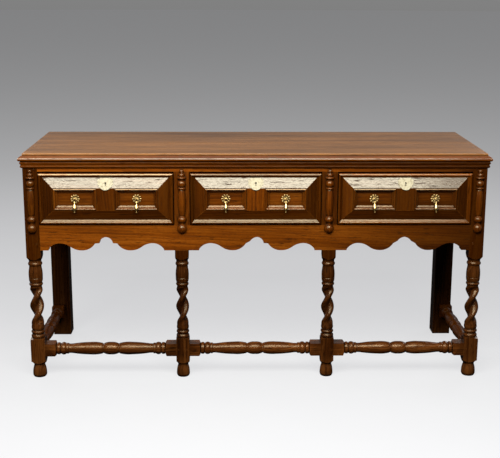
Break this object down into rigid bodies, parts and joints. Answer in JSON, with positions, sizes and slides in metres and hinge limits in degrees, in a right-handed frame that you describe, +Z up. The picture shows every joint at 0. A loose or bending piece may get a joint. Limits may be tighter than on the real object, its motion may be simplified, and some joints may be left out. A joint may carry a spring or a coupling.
{
  "type": "dresser base",
  "caption": "Low oak dresser base on twist-turned legs and turned stretchers, with moulded drawers that slide out, shaped apron and brass drops.",
  "frame": {"origin": "on the floor, under the middle of the whole object's box, handles included", "axes": "+X along the front from left to right as one faces the drawers, +Y from the front to the back, +Z up"},
  "size_m": [1.7, 0.5976, 0.85],
  "materials": {
    "oak_dark": "dark waxed and polished",
    "oak_mid": "waxed and polished",
    "oak_top": "waxed, worn by use",
    "oak_plain": "bare, dry and aged",
    "brass": "aged, rubbed bright",
    "iron": "forged, dark"
  },
  "bodies": {
    "carcass": {"top_board_front": "oak_top", "top_board_rear": "oak_top", "cornice_front": "oak_dark", "cornice_ends": "oak_dark", "front_post_left": "oak_dark", "front_post_right": "oak_dark", "inner_leg_left": "oak_dark", "inner_leg_right": "oak_dark", "rear_post_left": "oak_dark", "rear_post_right": "oak_dark", "frieze_rail": "oak_mid", "apron_rail": "oak_mid", "drawer_dividers": "oak_mid", "side_rails": "oak_dark", "side_panel_left": "oak_dark", "side_panel_right": "oak_dark", "back_frame": "oak_plain", "back_panels": "oak_plain", "drawer_runners": "oak_plain", "split_balusters": "oak_mid", "front_stretcher_left": "oak_dark", "front_stretcher_middle": "oak_dark", "front_stretcher_right": "oak_dark", "side_stretcher_left": "oak_dark", "side_stretcher_right": "oak_dark", "joint_pegs": "oak_dark"},
    "drawer_left": {"drawer_front_left": "oak_mid", "drawer_mouldings_left": "oak_mid", "drawer_sides_left": "oak_plain", "drawer_back_left": "oak_plain", "drawer_bottom_left": "oak_plain", "escutcheon_left": "brass", "lock_case_left": "iron", "handle_mounts_left": "brass"},
    "handle_drop_left_1": {"handle_drop_left_1": "brass"},
    "handle_drop_left_2": {"handle_drop_left_2": "brass"},
    "lock_bolt_left": {"lock_bolt_left": "iron"},
    "drawer_middle": {"drawer_front_middle": "oak_mid", "drawer_mouldings_middle": "oak_mid", "drawer_sides_middle": "oak_plain", "drawer_back_middle": "oak_plain", "drawer_bottom_middle": "oak_plain", "escutcheon_middle": "brass", "lock_case_middle": "iron", "handle_mounts_middle": "brass"},
    "handle_drop_middle_1": {"handle_drop_middle_1": "brass"},
    "handle_drop_middle_2": {"handle_drop_middle_2": "brass"},
    "lock_bolt_middle": {"lock_bolt_middle": "iron"},
    "drawer_right": {"drawer_front_right": "oak_mid", "drawer_mouldings_right": "oak_mid", "drawer_sides_right": "oak_plain", "drawer_back_right": "oak_plain", "drawer_bottom_right": "oak_plain", "escutcheon_right": "brass", "lock_case_right": "iron", "handle_mounts_right": "brass"},
    "handle_drop_right_1": {"handle_drop_right_1": "brass"},
    "handle_drop_right_2": {"handle_drop_right_2": "brass"},
    "lock_bolt_right": {"lock_bolt_right": "iron"}
  },
  "joints": [
    {"name": "drawer_slide_left", "type": "slide", "parent": "carcass", "child": "drawer_left", "axis": [0, -1, 0], "range_m": [0, 0.34]},
    {"name": "drop_swing_left_1", "type": "hinge", "parent": "drawer_left", "child": "handle_drop_left_1", "pos_m": [-0.65038, -0.2837, 0.686], "axis": [-1, 0, 0], "range_deg": [0, 144]},
    {"name": "drop_swing_left_2", "type": "hinge", "parent": "drawer_left", "child": "handle_drop_left_2", "pos_m": [-0.42862, -0.2837, 0.686], "axis": [-1, 0, 0], "range_deg": [0, 144]},
    {"name": "lock_throw_left", "type": "slide", "parent": "drawer_left", "child": "lock_bolt_left", "axis": [0, 0, 1], "range_m": [0, 0.0135]},
    {"name": "drawer_slide_middle", "type": "slide", "parent": "carcass", "child": "drawer_middle", "axis": [0, -1, 0], "range_m": [0, 0.34]},
    {"name": "drop_swing_middle_1", "type": "hinge", "parent": "drawer_middle", "child": "handle_drop_middle_1", "pos_m": [-0.10812, -0.2837, 0.686], "axis": [-1, 0, 0], "range_deg": [0, 144]},
    {"name": "drop_swing_middle_2", "type": "hinge", "parent": "drawer_middle", "child": "handle_drop_middle_2", "pos_m": [0.10812, -0.2837, 0.686], "axis": [-1, 0, 0], "range_deg": [0, 144]},
    {"name": "lock_throw_middle", "type": "slide", "parent": "drawer_middle", "child": "lock_bolt_middle", "axis": [0, 0, 1], "range_m": [0, 0.0135]},
    {"name": "drawer_slide_right", "type": "slide", "parent": "carcass", "child": "drawer_right", "axis": [0, -1, 0], "range_m": [0, 0.34]},
    {"name": "drop_swing_right_1", "type": "hinge", "parent": "drawer_right", "child": "handle_drop_right_1", "pos_m": [0.42862, -0.2837, 0.686], "axis": [-1, 0, 0], "range_deg": [0, 144]},
    {"name": "drop_swing_right_2", "type": "hinge", "parent": "drawer_right", "child": "handle_drop_right_2", "pos_m": [0.65038, -0.2837, 0.686], "axis": [-1, 0, 0], "range_deg": [0, 144]},
    {"name": "lock_throw_right", "type": "slide", "parent": "drawer_right", "child": "lock_bolt_right", "axis": [0, 0, 1], "range_m": [0, 0.0135]}
  ]
}
